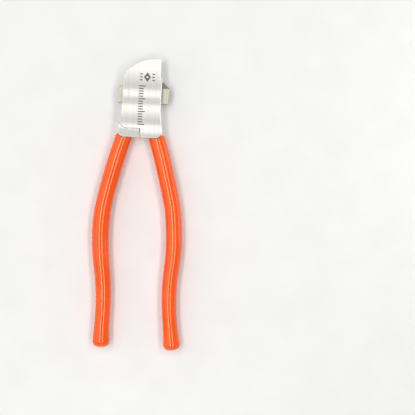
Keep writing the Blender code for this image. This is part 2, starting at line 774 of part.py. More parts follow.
def main():
    clear_scene()
    parts = new_collection("key_cutting_pliers")
    cutters = new_collection("cutters")
    materials = {name: new_material(name) for name in MATERIALS}
    right_leg = make_right_leg(parts, cutters)
    left_leg = make_left_leg(parts, cutters)
    back = make_back_plate(parts, cutters)
    finish([right_leg, left_leg, back], materials["polished_steel"])
    spacer = make_top_spacer(parts, cutters)
    slide = make_slide_bar(parts, cutters)
    tip = make_punch_tip(parts, cutters)
    finish([spacer, slide, tip], materials["nickel_steel"])
    die = make_die_block(parts, cutters)
    pivot, sleeve, thrust, pivot_screw = make_pivot(parts, cutters)
    wave = make_wave_washer(parts)
    finish([die, pivot, wave] + make_pins(parts), materials["hard_steel"])
    finish([sleeve, thrust], materials["bronze"])
    finish([pivot_screw] + make_screws(parts, cutters), materials["black_screw"])
    right_grip = make_grip("right_grip", RIGHT_HANDLE, parts, cutters)
    left_grip = make_grip("left_grip", LEFT_HANDLE, parts, cutters)
    finish([right_grip, left_grip], materials["orange_vinyl"])
    hide(cutters)


main()
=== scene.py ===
"""The looks of the key-cutting pliers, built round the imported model. Units are metres.

The frame is the model's own: the tool lies on its back, +X runs right across the head, +Y up to its
nose and +Z out of its front face. Layers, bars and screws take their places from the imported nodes.
"""

import math

import bmesh
import bpy
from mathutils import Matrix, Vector


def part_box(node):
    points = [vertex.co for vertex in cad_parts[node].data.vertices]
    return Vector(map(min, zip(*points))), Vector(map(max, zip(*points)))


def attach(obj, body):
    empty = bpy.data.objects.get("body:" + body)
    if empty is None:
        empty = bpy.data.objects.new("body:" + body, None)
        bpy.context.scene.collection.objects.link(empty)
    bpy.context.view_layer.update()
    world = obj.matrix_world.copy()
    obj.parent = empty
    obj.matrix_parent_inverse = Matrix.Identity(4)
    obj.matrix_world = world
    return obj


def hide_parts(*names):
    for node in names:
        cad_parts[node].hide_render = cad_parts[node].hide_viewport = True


# Room between pieces that touch, the distance under which two points are one, and "past everything".
GAP = 0.0003
WELD = 0.000005
REACH = 0.1

# Head outline: a round nose, a step in the right side, flared flanks and round lower corners.
NOSE_CENTRE = (0.0120, 0.0144)
NOSE_RADIUS = 0.0343
LEFT_SIDE = -0.0153
RIGHT_SIDE = 0.0150
STEP_SIDE = 0.0161
STEP_HEIGHT = 0.0327
STEP_SLOPE = 0.0006
LEFT_FLARE_TOP = 0.0200
LEFT_FLARE_RADIUS = 0.160
RIGHT_FLARE_TOP = 0.0110
RIGHT_FLARE_RADIUS = 0.105
FLARE_ANGLE = 10.9
CORNER_RADIUS = 0.0053
LEFT_CORNER = (-0.0128, -0.0103)
RIGHT_CORNER = (0.0129, -0.0103)
BOTTOM_RISE = 0.0003

# Room at the seam and the slit, and how much the left pad's front falls away below the seam, per metre.
SEAM_GAP = 0.0003
PAD_LEAN = 0.0034

# Edges: the chamfered rims of the plates, the blocks between them, and the fine break on cut edges.
RIM = 0.00060
BLOCK_EDGE = 0.00022
BREAK = 0.00004

# A face plate's second material, which its rims take. Coplanar faces within FLAT degrees are merged.
SATIN = 1
FLAT = 0.05

# The pivot, and the seam round it between the front plate and the left pad. Below the seam the two
# pads meet at a slit, which is wider at its top.
SEAM_RADIUS = 0.0071
SLIT_FLARE = 2.6
SLIT_FLARE_DEPTH = 0.0045
PIN_RADIUS = 0.0032
BUSH_RADIUS = 0.0041

# The lever inside the head.
LEVER_LENGTH = 0.0180
LEVER_LEAN = 6.4
HUB_RADIUS = 0.0060
NECK_HALF = 0.0023
NECK_LOW = 0.0110
SHOULDER_HALF = 0.0054
SHOULDER_LOW = 0.0035
NOSE_PAD_RADIUS = 0.0032
FOOT_DEPTH = 0.0090
LEVER_LOW = 0.0058
LEVER_TOP = 0.0120

# The sliding bar and its tip.
BAR_LEFT_CORNER = 0.0005
TONGUE_HALF = 0.0015
TONGUE_RISE = 0.0020
TONGUE_RIGHT = -0.0006
JOINT_X = 0.0057
TENON = (0.0153, 0.0223)
TENON_HALF = 0.0016
TIP_LOW_RIGHT = 0.0217
TOOTH_FACE = 0.0159
TOOTH_APEX = 0.0307
DIE_LEFT = 0.0040
BOSS_LEFT = -0.0016

# Axes of the handles, as (x, y, radius) from the head down.
RIGHT_HANDLE = (
    (0.0104, -0.0050, 0.0066),
    (0.0161, -0.0225, 0.0067),
    (0.0213, -0.0400, 0.0068),
    (0.0277, -0.0645, 0.0067),
    (0.0303, -0.0780, 0.0067),
    (0.0319, -0.1000, 0.0067),
    (0.0315, -0.1130, 0.0065),
    (0.0303, -0.1270, 0.0063),
    (0.0298, -0.1400, 0.0062),
    (0.0306, -0.1570, 0.0060),
    (0.0321, -0.1690, 0.0061),
    (0.0334, -0.1790, 0.0067),
    (0.0339, -0.1822, 0.0070),
)
LEFT_HANDLE = (
    (-0.0100, -0.0050, 0.0066),
    (-0.0154, -0.0225, 0.0068),
    (-0.0201, -0.0400, 0.0069),
    (-0.0257, -0.0645, 0.0068),
    (-0.0277, -0.0780, 0.0070),
    (-0.0284, -0.0950, 0.0071),
    (-0.0271, -0.1130, 0.0069),
    (-0.0252, -0.1270, 0.0066),
    (-0.0237, -0.1400, 0.0064),
    (-0.0233, -0.1570, 0.0062),
    (-0.0236, -0.1690, 0.0063),
    (-0.0237, -0.1790, 0.0068),
    (-0.0236, -0.1822, 0.0070),
)
HANDLE_STEPS = 14
EASE_REACH = 5
EASE_PASSES = 2
GRIP_TOP = -0.0128
GRIP_LIP = 0.0009
END_LENGTH = 0.0046
END_BLUNTNESS = 0.6
END_RINGS = 20
TANG_KNOTS = 10
TANG_WIDTH = 0.0064
TANG_HEIGHT = 0.0080
TANG_CORNER = 0.0018
TANG_REFERENCE = 0.0066

# Screw sizes, as the radii of shank and head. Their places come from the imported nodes.
PLATE_SCREW = (0.0015, 0.0029)
DIE_SCREW = (0.00125, 0.0021)
SCREW_EASE = 0.00018
SCREW_LAND = 0.0003
DOWEL_RADIUS = 0.0012
STOP_RADIUS = 0.0015
PIVOT_SCREW_HEAD = 0.0046
PIVOT_HEAD_TOP = 0.0021
PIVOT_SCREW_EASE = 0.00035
PIVOT_SOCKET_RADIUS = 0.0019
PIVOT_SOCKET_DEPTH = 0.0013
PIVOT_SOCKET_TIP = 0.0001
PIVOT_MOUTH = (0.0023, 0.0003)
PIN_EASE = 0.0003
SCREW_SIDES = 48
HEX_SIDES = 6

# Etched marks on the front: a graduated scale, a faint short scale and a plain diamond with bars.
ETCH_DEPTH = 0.00006
SCALE_X = 0.0006
SCALE_LOW = -0.0050
SCALE_STEP = 0.00206
SCALE_MARKS = 16
LONG_MARK = 0.0056
SHORT_MARK = 0.0038
MARK_WIDTH = 0.00085
FAINT_X = -0.0100
FAINT_LOW = 0.0120
FAINT_STEP = 0.00206
FAINT_MARKS = 6
FAINT_MARK = 0.0018
SIGN_CENTRE = (0.0042, 0.0332)
SIGN_HALF = (0.0028, 0.0038)
SIGN_HOLE = 0.0009
SIDE_BARS = (-0.0049, 0.0050)
SIDE_BAR_STEP = 0.0024
SIDE_BAR_SIZE = (0.0022, 0.0009)

# Lamps over the head whose reflections make bright bands on its front.
BAND_TOP = 0.0700
BAND_BOTTOM = -0.0300
SHARP_BANDS = ((0.0170, 0.0231), (-0.0120, -0.0048))
FADING_BANDS = ((0.0700, 0.0290, 0.0400), (0.0125, 0.0010, 0.0075))
BAND_HEIGHT = 1.25
BAND_X = -0.08
BAND_LENGTH = 0.7
BAND_RADIANCE = 0.42
BAND_BASE = 0.45
BAND_LIFT = 0.004
BAND_STEPS = 5

# The floor's half size, and how far it lies below the tool.
FLOOR_SIZE = 12.0
FLOOR_DROP = 0.0002

# Lamps, as name, place, target, size and radiance: a broad key, two long strips whose reflections run
# down the handles, and three low lamps round the head.
MIDDLE = (0.0, -0.07, 0.01)
LAMPS = (
    ("key", (-1.25, 0.15, 1.20), MIDDLE, (1.3, 1.5), 0.9),
    ("left_strip", (-0.37, -0.07, 1.45), MIDDLE, (1.6, 0.30), 5.9),
    ("right_strip", (0.59, -0.07, 1.45), MIDDLE, (1.6, 0.30), 5.1),
    ("head_side", (0.36, 0.030, 0.065), (0.0, 0.030, 0.065), (0.26, 0.13), 1.1),
    ("head_foot", (0.0, -0.40, 0.075), (0.0, 0.0, 0.075), (0.20, 0.09), 0.9),
    ("head_nose", (0.02, 0.45, 0.100), (0.02, 0.0, 0.020), (0.30, 0.12), 0.25),
)

# The world's radiance near the horizon and overhead, and the sine of the height where it levels off.
WORLD_LOW = 0.62
WORLD_HIGH = 0.25
WORLD_FADE = 0.85

# Camera: straight above the tool, turned so that the tool leans to the right.
VIEW_CENTRE = (0.05766, -0.0694)
VIEW_TURN = 2.8
VIEW_DISTANCE = 0.90
VIEW_WIDTH = 0.3345
SENSOR = 36.0
CLIP_START = 0.01


# Small geometry


def arc(centre, radius, start, end, steps):
    """Points on an arc, with its angles in degrees."""
    points = []
    for i in range(steps + 1):
        angle = math.radians(start + (end - start) * i / steps)
        points.append((centre[0] + radius * math.cos(angle), centre[1] + radius * math.sin(angle)))
    return points


def turn(point, degrees):
    """A point turned anticlockwise about the origin."""
    angle = math.radians(degrees)
    x = point[0] * math.cos(angle) - point[1] * math.sin(angle)
    y = point[0] * math.sin(angle) + point[1] * math.cos(angle)
    return x, y


def centre_of(node):
    """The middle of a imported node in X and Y."""
    low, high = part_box(node)
    return (low.x + high.x) / 2, (low.y + high.y) / 2


def box_outline(left, right, low, high):
    return [(left, low), (right, low), (right, high), (left, high)]


def smooth(knots, steps):
    """Points on a Catmull-Rom curve through the knots, steps to each span."""
    padded = [knots[0]] + list(knots) + [knots[-1]]
    points = []
    for before, start, end, after in zip(padded, padded[1:], padded[2:], padded[3:]):
        for i in range(steps):
            t = i / steps
            point = []
            for a, b, c, d in zip(before, start, end, after):
                bend = (2 * a - 5 * b + 4 * c - d) * t * t + (3 * b - a - 3 * c + d) * t**3
                point.append(b + ((c - a) * t + bend) / 2)
            points.append(tuple(point))
    return points + [tuple(knots[-1])]


def eased(path):
    """Evens out the curvature of a path by averaging each point with its neighbours."""
    for _ in range(EASE_PASSES):
        even = []
        for i in range(len(path)):
            reach = min(EASE_REACH, i, len(path) - 1 - i)
            near = path[i - reach : i + reach + 1]
            even.append(tuple(sum(values) / len(near) for values in zip(*near)))
        path = even
    return path


# Objects


def link(piece):
    bpy.context.scene.collection.objects.link(piece)
    return piece


def merge_flat(work):
    """Merges the coplanar faces of a bmesh."""
    limit = math.radians(FLAT)
    bmesh.ops.dissolve_limit(work, angle_limit=limit, verts=work.verts, edges=work.edges)


def meshed(source, flat=True):
    """Turns a curve object into a closed mesh object. Flat ones have their coplanar faces merged."""
    link(source)
    bpy.context.view_layer.update()
    graph = bpy.context.evaluated_depsgraph_get()
    mesh = bpy.data.meshes.new_from_object(source.evaluated_get(graph))
    matrix = source.matrix_world.copy()
    name = source.name
    bpy.data.objects.remove(source)
    welded = bmesh.new()
    welded.from_mesh(mesh)
    welded.transform(matrix)
    bmesh.ops.remove_doubles(welded, verts=welded.verts, dist=WELD)
    if flat:
        merge_flat(welded)
    bmesh.ops.recalc_face_normals(welded, faces=welded.faces)
    welded.to_mesh(mesh)
    welded.free()
    mesh.materials.clear()
    return link(bpy.data.objects.new(name, mesh))


def flat_curve(name, outline):
    curve = bpy.data.curves.new(name, "CURVE")
    curve.dimensions = "2D"
    curve.fill_mode = "BOTH"
    spline = curve.splines.new("POLY")
    spline.points.add(len(outline) - 1)
    for point, (x, y) in zip(spline.points, outline):
        point.co = (x, y, 0, 1)
    spline.use_cyclic_u = True
    return curve


def plate(name, outline, low, high):
    """A flat outline in X and Y, extruded from low to high along Z."""
    curve = flat_curve(name, outline)
    curve.extrude = (high - low) / 2
    source = bpy.data.objects.new(name, curve)
    source.location.z = (low + high) / 2
    return meshed(source)


def bar(name, outline, low, high):
    """An outline in Y and Z, extruded from low to high along X."""
    curve = flat_curve(name, outline)
    curve.extrude = (high - low) / 2
    source = bpy.data.objects.new(name, curve)
    source.location.x = (low + high) / 2
    source.rotation_euler = (math.radians(90), 0, math.radians(90))
    return meshed(source)


def turned(name, profile, centre, sides=SCREW_SIDES):
    """A profile of (radius, z) points about a vertical axis. It starts at the top of its outside."""
    mesh = bpy.data.meshes.new(name)
    points = [(radius, 0, z) for radius, z in profile]
    mesh.from_pydata(points, [(i, i + 1) for i in range(len(points) - 1)], [])
    piece = link(bpy.data.objects.new(name, mesh))
    piece.location = (centre[0], centre[1], 0)
    screw = piece.modifiers.new("turn", "SCREW")
    screw.steps = sides
    screw.render_steps = sides
    screw.use_merge_vertices = True
    screw.merge_threshold = WELD
    return baked(piece)


def hole(centre, radius, low, high, sides=SCREW_SIDES):
    return turned("hole", [(0, high), (radius, high), (radius, low), (0, low)], centre, sides)


def boolean(piece, operation, others, keep_colour=False):
    """Adds, cuts or keeps what the others cover, and removes them."""
    for other in others:
        modifier = piece.modifiers.new(other.name, "BOOLEAN")
        modifier.object = other
        modifier.operation = operation
        modifier.solver = "EXACT"
        if keep_colour:
            modifier.material_mode = "TRANSFER"
    baked(piece)
    for other in others:
        bpy.data.objects.remove(other)
    return piece


def cut(piece, *others):
    return boolean(piece, "DIFFERENCE", others)


def cut_dark(piece, materials, *others):
    """Cuts with faces in the dull grey of the inside, which on the seam walls between the plates is also
    painted shade.
    """
    for other in others:
        other.data.materials.append(materials["inner_steel_and_seam_shade"])
    return boolean(piece, "DIFFERENCE", others, keep_colour=True)


def face_plate(name, materials, top):
    """The whole head as a plate of polished steel up to top, with satin rims."""
    piece = plate(name, head_outline(), 0, top)
    piece.data.materials.append(materials["polished_steel"])
    piece.data.materials.append(materials["satin_steel"])
    return round_edges(piece, RIM, 1, material=SATIN)


def keep_inside(piece, *others):
    return boolean(piece, "INTERSECT", others)


def join(piece, *others):
    return boolean(piece, "UNION", others)


def join_dark(piece, materials, other):
    """Joins a part that keeps the dull grey of the inside."""
    other.data.materials.append(materials["inner_steel_and_seam_shade"])
    return boolean(piece, "UNION", [other], keep_colour=True)


def round_edges(piece, width, segments=3, angle=50, material=-1):
    """Bevels sharp edges. The new faces can take another of the piece's materials, by its number."""
    bevel = piece.modifiers.new("edges", "BEVEL")
    bevel.material = material
    bevel.width = width
    bevel.segments = segments
    bevel.limit_method = "ANGLE"
    bevel.angle_limit = math.radians(angle)
    bevel.use_clamp_overlap = True
    return baked(piece)


def baked(piece):
    """Applies every modifier, with the piece's place taken into its mesh."""
    bpy.context.view_layer.update()
    graph = bpy.context.evaluated_depsgraph_get()
    mesh = bpy.data.meshes.new_from_object(piece.evaluated_get(graph))
    mesh.transform(piece.matrix_world)
    piece.modifiers.clear()
    piece.data = mesh
    piece.matrix_world.identity()
    piece.location = (0, 0, 0)
    return piece


def clean(piece):
    """Welds what a Boolean left and merges flat faces."""
    work = bmesh.new()
    work.from_mesh(piece.data)
    bmesh.ops.remove_doubles(work, verts=work.verts, dist=WELD)
    merge_flat(work)
    work.to_mesh(piece.data)
    work.free()
    return piece


def smooth_shade(piece, angle=32, flat=True):
    """Smooth shading, which keeps flat faces flat unless the whole piece is round."""
    piece.data.shade_smooth()
    piece.data.set_sharp_from_angle(angle=math.radians(angle))
    if not flat:
        return piece
    weighted = piece.modifiers.new("flat_faces", "WEIGHTED_NORMAL")
    weighted.keep_sharp = True
    weighted.weight = 100
    return baked(piece)


# Materials


class Nodes:
    """Short names for building a material's nodes."""

    def __init__(self, name):
        self.material = bpy.data.materials.new(name)
        self.material.use_nodes = True
        self.tree = self.material.node_tree
        self.shader = self.tree.nodes["Principled BSDF"]

    def add(self, kind, **settings):
        node = self.tree.nodes.new(kind)
        for key, value in settings.items():
            setattr(node, key, value)
        return node

    def link(self, source, target):
        self.tree.links.new(source, target)

    def noise(self, scale, detail=3.0, stretch=(1, 1, 1)):
        """Noise in the tool's own space. Stretch makes it finer along an axis."""
        place = self.add("ShaderNodeTexCoord")
        mapping = self.add("ShaderNodeMapping")
        mapping.inputs["Scale"].default_value = stretch
        texture = self.add("ShaderNodeTexNoise")
        texture.inputs["Scale"].default_value = scale
        texture.inputs["Detail"].default_value = detail
        self.link(place.outputs["Object"], mapping.inputs["Vector"])
        self.link(mapping.outputs["Vector"], texture.inputs["Vector"])
        return texture.outputs["Fac"]

    def ramp(self, source, low, high, start=0.3, end=0.7):
        """Spreads a value between two numbers or two colours."""
        node = self.add("ShaderNodeMapRange")
        node.inputs["From Min"].default_value = start
        node.inputs["From Max"].default_value = end
        self.link(source, node.inputs["Value"])
        if not isinstance(low, tuple):
            node.inputs["To Min"].default_value = low
            node.inputs["To Max"].default_value = high
            return node.outputs["Result"]
        mix = self.add("ShaderNodeMix", data_type="RGBA")
        mix.inputs["A"].default_value = (*low, 1)
        mix.inputs["B"].default_value = (*high, 1)
        self.link(node.outputs["Result"], mix.inputs["Factor"])
        return next(o for o in mix.outputs if o.type == "RGBA")

    def mix(self, factor, a, b):
        """Mixes two colours, each a socket."""
        mix = self.add("ShaderNodeMix", data_type="RGBA")
        self.link(factor, mix.inputs["Factor"])
        first, second = [i for i in mix.inputs if i.type == "RGBA"]
        self.link(a, first)
        self.link(b, second)
        return next(o for o in mix.outputs if o.type == "RGBA")

    def bump(self, source, height, before=None):
        node = self.add("ShaderNodeBump")
        node.inputs["Strength"].default_value = 1.0
        node.inputs["Distance"].default_value = height
        self.link(source, node.inputs["Height"])
        if before:
            self.link(before, node.inputs["Normal"])
        return node.outputs["Normal"]

    def edge_mask(self, radius, strength):
        """A value that rises from 0 to 1 on edges."""
        rounded = self.add("ShaderNodeBevel", samples=4)
        rounded.inputs["Radius"].default_value = radius
        geometry = self.add("ShaderNodeNewGeometry")
        dot = self.add("ShaderNodeVectorMath", operation="DOT_PRODUCT")
        self.link(rounded.outputs["Normal"], dot.inputs[0])
        self.link(geometry.outputs["Normal"], dot.inputs[1])
        return self.ramp(dot.outputs["Value"], 1.0, 0.0, 1 - strength, 1.0)

    def set(self, **values):
        for key, value in values.items():
            name = key.replace("_", " ").title().replace("Ior", "IOR")
            socket = self.shader.inputs[name]
            if isinstance(value, bpy.types.NodeSocket):
                self.link(value, socket)
            elif isinstance(value, tuple):
                socket.default_value = (*value, 1)
            else:
                socket.default_value = value
        return self.material


def brushed_steel(name, dark, light, rough, grain, edge_wear_and_highlight):
    """Steel brushed along Y: fine lines, broader streaks, a faint cloudiness and bright edges, partly
    wear and partly a painted highlight.
    """
    nodes = Nodes(name)
    lines = nodes.noise(5200, 2.0, (1, 0.012, 1))
    streaks = nodes.noise(620, 3.0, (1, 0.02, 1))
    clouds = nodes.noise(55, 4.0)
    fine = nodes.ramp(lines, dark, light, 0.25, 0.75)
    broad = nodes.ramp(streaks, dark, light, 0.3, 0.65)
    body = nodes.mix(nodes.ramp(clouds, 0.3, 0.75), fine, broad)
    # Painted highlight: the edges take a brighter colour, partly wear and partly light caught on the
    # rims.
    bright = nodes.ramp(lines, edge_wear_and_highlight, edge_wear_and_highlight)
    colour = nodes.mix(nodes.edge_mask(0.0004, 0.18), body, bright)
    roughness = nodes.ramp(lines, rough * 0.85, rough * 1.2)
    tangent = nodes.add("ShaderNodeTangent", direction_type="RADIAL", axis="Y")
    nodes.link(tangent.outputs["Tangent"], nodes.shader.inputs["Tangent"])
    normal = nodes.bump(lines, grain)
    return nodes.set(
        base_color=colour, metallic=1.0, roughness=roughness, normal=normal, anisotropic=0.6
    )


def lighter(colour, factor):
    return tuple(min(1, value * factor) for value in colour)


def plated_steel(name, dark, light, rough):
    """Matte nickel plate: a fine even grain, soft patches and rubbed edges."""
    nodes = Nodes(name)
    grain = nodes.noise(4200, 3.0)
    patches = nodes.noise(190, 5.0)
    rubbed = nodes.noise(420, 2.0, (0.15, 1, 1))
    share = nodes.ramp(rubbed, 0.2, 0.6)
    soft = nodes.ramp(patches, dark, light)
    body = nodes.mix(share, soft, nodes.ramp(grain, dark, light))
    edge = nodes.edge_mask(0.00035, 0.25)
    bright = nodes.ramp(grain, lighter(light, 1.1), lighter(light, 1.22))
    colour = nodes.mix(edge, body, bright)
    roughness = nodes.ramp(patches, rough * 0.85, rough * 1.15)
    normal = nodes.bump(grain, 0.000006)
    return nodes.set(base_color=colour, metallic=1.0, roughness=roughness, normal=normal)


def black_oxide(name):
    """Blackened screws: near black, a little brown, with shiny rubbed edges."""
    nodes = Nodes(name)
    grain = nodes.noise(2600, 3.0)
    body = nodes.ramp(grain, (0.018, 0.017, 0.018), (0.045, 0.042, 0.040))
    bright = nodes.ramp(grain, (0.20, 0.19, 0.18), (0.34, 0.33, 0.31))
    colour = nodes.mix(nodes.edge_mask(0.0002, 0.35), body, bright)
    roughness = nodes.ramp(grain, 0.34, 0.5)
    return nodes.set(
        base_color=colour, metallic=1.0, roughness=roughness, normal=nodes.bump(grain, 0.000005)
    )


def turned_metal(name, dark, light, rough):
    """Machined metal with faint rings about the pivot."""
    nodes = Nodes(name)
    grain = nodes.noise(3200, 2.0, (1, 1, 0.2))
    colour = nodes.ramp(grain, dark, light)
    roughness = nodes.ramp(grain, rough * 0.8, rough * 1.2)
    return nodes.set(
        base_color=colour, metallic=1.0, roughness=roughness, normal=nodes.bump(grain, 0.000004)
    )


def dipped_vinyl(name):
    """Glossy dipped vinyl: slow waves in the skin, a fine orange peel and slight changes of colour."""
    nodes = Nodes(name)
    waves = nodes.noise(55, 1.5, (1, 0.3, 1))
    peel = nodes.noise(950, 2.0)
    patches = nodes.noise(38, 3.0)
    colour = nodes.ramp(patches, (0.92, 0.084, 0.007), (0.99, 0.108, 0.011))
    roughness = nodes.ramp(peel, 0.07, 0.11)
    first = nodes.bump(waves, 0.00007)
    normal = nodes.bump(peel, 0.0000035, first)
    return nodes.set(
        base_color=colour,
        roughness=roughness,
        normal=normal,
        ior=1.47,
        specular_ior_level=1.0,
        specular_tint=(1.0, 0.78, 0.50),
    )


def etched(name, dark, light, rough):
    """Laser-darkened steel with an uneven burn."""
    nodes = Nodes(name)
    burn = nodes.noise(2400, 3.0)
    colour = nodes.ramp(burn, dark, light)
    normal = nodes.bump(burn, 0.00001)
    return nodes.set(base_color=colour, metallic=0.4, roughness=rough, normal=normal)


# Finishes of the steels, as name, dark colour, light colour and roughness. A brushed steel also has
# the depth of its grain and the colour of its bright edges, which is wear and partly a painted
# highlight.
BRUSHED = (
    ("polished_steel", (0.85, 0.845, 0.79), (0.945, 0.94, 0.885), 0.040, 0.0000006, (0.98, 0.98, 0.95)),
    ("ground_steel", (0.58, 0.58, 0.58), (0.74, 0.74, 0.73), 0.24, 0.0000030, (0.9, 0.9, 0.9)),
    ("hard_steel", (0.36, 0.36, 0.37), (0.50, 0.50, 0.50), 0.30, 0.0000030, (0.75, 0.75, 0.75)),
)
PLATED = (
    ("satin_steel", (0.80, 0.795, 0.75), (0.90, 0.895, 0.85), 0.40),
    ("nickel_steel", (0.36, 0.345, 0.280), (0.49, 0.472, 0.392), 0.46),
    # The inner grey, which on the seam walls between the plates is also painted shade.
    ("inner_steel_and_seam_shade", (0.13, 0.125, 0.12), (0.21, 0.205, 0.20), 0.5),
)
ETCHED = (
    ("etched_dark", (0.11, 0.083, 0.060), (0.22, 0.172, 0.125), 0.7),
    ("etched_faint", (0.42, 0.40, 0.36), (0.56, 0.54, 0.50), 0.5),
)


def make_materials():
    """Every material of the tool, by name."""
    materials = {finish[0]: brushed_steel(*finish) for finish in BRUSHED}
    materials.update({finish[0]: plated_steel(*finish) for finish in PLATED})
    materials.update({finish[0]: etched(*finish) for finish in ETCHED})
    materials["bronze"] = turned_metal("bronze", (0.52, 0.33, 0.14), (0.70, 0.48, 0.24), 0.32)
    materials["black_screw"] = black_oxide("black_screw")
    materials["orange_vinyl"] = dipped_vinyl("orange_vinyl")
    return materials


def dress(piece, material, slot, body, *nodes):
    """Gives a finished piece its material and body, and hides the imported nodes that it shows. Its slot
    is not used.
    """
    if not piece.data.materials:
        piece.data.materials.append(material)
    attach(piece, body)
    if nodes:
        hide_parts(*nodes)
    return piece


# Head


def head_foot(growth=0.0):
    """The lower edge of the head from right to left, grown outwards by growth."""
    radius = CORNER_RADIUS + growth
    right = arc(RIGHT_CORNER, radius, FLARE_ANGLE, -90, 26)
    left = arc(LEFT_CORNER, radius, -90, -180 - FLARE_ANGLE, 26)
    low = RIGHT_CORNER[1] - radius
    middle = []
    for share in (0.25, 0.5, 0.75):
        x = RIGHT_CORNER[0] + (LEFT_CORNER[0] - RIGHT_CORNER[0]) * share
        middle.append((x, low + BOTTOM_RISE * math.sin(math.pi * share)))
    return right + middle + left


def head_outline():
    """The whole head, clockwise from its shoulder."""
    right_angle = math.degrees(math.acos((RIGHT_SIDE - NOSE_CENTRE[0]) / NOSE_RADIUS))
    left_angle = math.degrees(math.acos((LEFT_SIDE - NOSE_CENTRE[0]) / NOSE_RADIUS))
    nose = arc(NOSE_CENTRE, NOSE_RADIUS, left_angle, right_angle, 56)
    step = [(RIGHT_SIDE, STEP_HEIGHT + STEP_SLOPE), (STEP_SIDE, STEP_HEIGHT - STEP_SLOPE)]
    right_centre = (STEP_SIDE + RIGHT_FLARE_RADIUS, RIGHT_FLARE_TOP)
    right_flare = arc(right_centre, RIGHT_FLARE_RADIUS, 180, 180 + FLARE_ANGLE - 1, 20)
    left_centre = (LEFT_SIDE - LEFT_FLARE_RADIUS, LEFT_FLARE_TOP)
    left_flare = arc(left_centre, LEFT_FLARE_RADIUS, 1 - FLARE_ANGLE, 0, 26)
    return nose + step + right_flare + head_foot() + left_flare


def left_region(pivot, offset):
    """The part of the head that belongs to the left pad, with its edges moved by offset."""
    radius = SEAM_RADIUS + offset
    low = pivot[1] - radius
    seam = arc(pivot, radius, 180, 270, 40)
    slit = [(-offset * SLIT_FLARE, low), (-offset, low - SLIT_FLARE_DEPTH), (-offset, -REACH)]
    return [(-REACH, pivot[1])] + seam + slit + [(-REACH, -REACH)]


def lever_outline(pivot):
    """The lever inside the head: round nose, neck, arm, hub and a foot that runs into the pad."""

    def lever_point(point):
        x, y = turn(point, LEVER_LEAN)
        return pivot[0] + x, pivot[1] + y

    nose_end = math.degrees(math.acos(NECK_HALF / NOSE_PAD_RADIUS))
    nose = arc((0, LEVER_LENGTH), NOSE_PAD_RADIUS, -nose_end, 180 + nose_end, 36)
    arm = [(-NECK_HALF, NECK_LOW), (-SHOULDER_HALF, SHOULDER_LOW)]
    back = [(SHOULDER_HALF, SHOULDER_LOW), (NECK_HALF, NECK_LOW)]
    low = pivot[1] - FOOT_DEPTH
    foot = [
        (pivot[0] - HUB_RADIUS, pivot[1]),
        (pivot[0] - HUB_RADIUS - 2 * GAP, low),
        (pivot[0] + HUB_RADIUS + 2 * GAP, low),
        (pivot[0] + HUB_RADIUS, pivot[1]),
    ]
    return [lever_point(p) for p in nose + arm] + foot + [lever_point(p) for p in back]


def screw_hole(centre, sizes, high, low=0.0):
    """A clearance hole with a countersink that opens at low."""
    narrow = sizes[0] + GAP
    wide = sizes[1] + GAP / 2
    profile = [(0, high), (narrow, high), (narrow, low + wide - narrow + GAP)]
    profile += [(wide, low + GAP), (wide, low - GAP), (0, low - GAP)]
    return turned("screw_hole", profile, centre)


def named(prefix):
    """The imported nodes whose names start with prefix."""
    return sorted(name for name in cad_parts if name.startswith(prefix))


def back_holes(high):
    """Cutters for every hole that the plates have in common."""
    holes = [screw_hole(centre_of(n), PLATE_SCREW, high) for n in named("plate_screw")]
    holes += [hole(centre_of(n), DOWEL_RADIUS + GAP / 2, -GAP, high) for n in named("dowel")]
    holes.append(hole(centre_of("stop_pin"), STOP_RADIUS + GAP / 2, -GAP, high))
    return holes


def make_right_leg(materials, pivot):
    """Front plate, boss and right pad in one piece, with its tang and its etched marks."""
    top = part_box("right_leg")[1].z
    middle_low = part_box("die_block")[0].z
    front_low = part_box("die_block")[1].z + GAP
    boss_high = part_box("slide_bar")[0].y - GAP
    leg = face_plate("right_leg_steel", materials, top)
    seam_low = pivot[1] - SEAM_RADIUS - SEAM_GAP / 2
    left_side = plate("left_side", left_region(pivot, -SEAM_GAP / 2), -REACH, REACH)
    back_room = plate("back_room", box_outline(-REACH, REACH, seam_low, REACH), -REACH, middle_low)
    room = [(-REACH, -REACH), (BOSS_LEFT, -REACH), (BOSS_LEFT, boss_high), (REACH, boss_high)]
    room += [(REACH, REACH), (-REACH, REACH)]
    middle_room = plate("middle_room", room, middle_low - GAP, front_low)
    # The cut faces take the dark inner grey, which on the seam walls is painted shade.
    cut_dark(leg, materials, left_side, back_room, middle_room)
    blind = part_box("plate_screw_1")[1].z + GAP
    cut(leg, *back_holes(blind))
    cut(leg, hole(pivot, PIN_RADIUS + GAP / 2, 0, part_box("pivot_pin")[1].z + GAP))
    clean(leg)
    round_edges(leg, BREAK, 2, 35, SATIN)
    join_dark(leg, materials, tang("right_tang", RIGHT_HANDLE))
    etch(leg, top, materials)
    smooth_shade(leg)
    return dress(leg, materials["polished_steel"], "polished_steel", "frame", "right_leg")


def lean_face(piece, top, level):
    """Leans a front face by PAD_LEAN, so that it falls away below level."""
    for vertex in piece.data.vertices:
        if vertex.co.z > top - 2 * RIM:
            vertex.co.z += PAD_LEAN * (vertex.co.y - level)


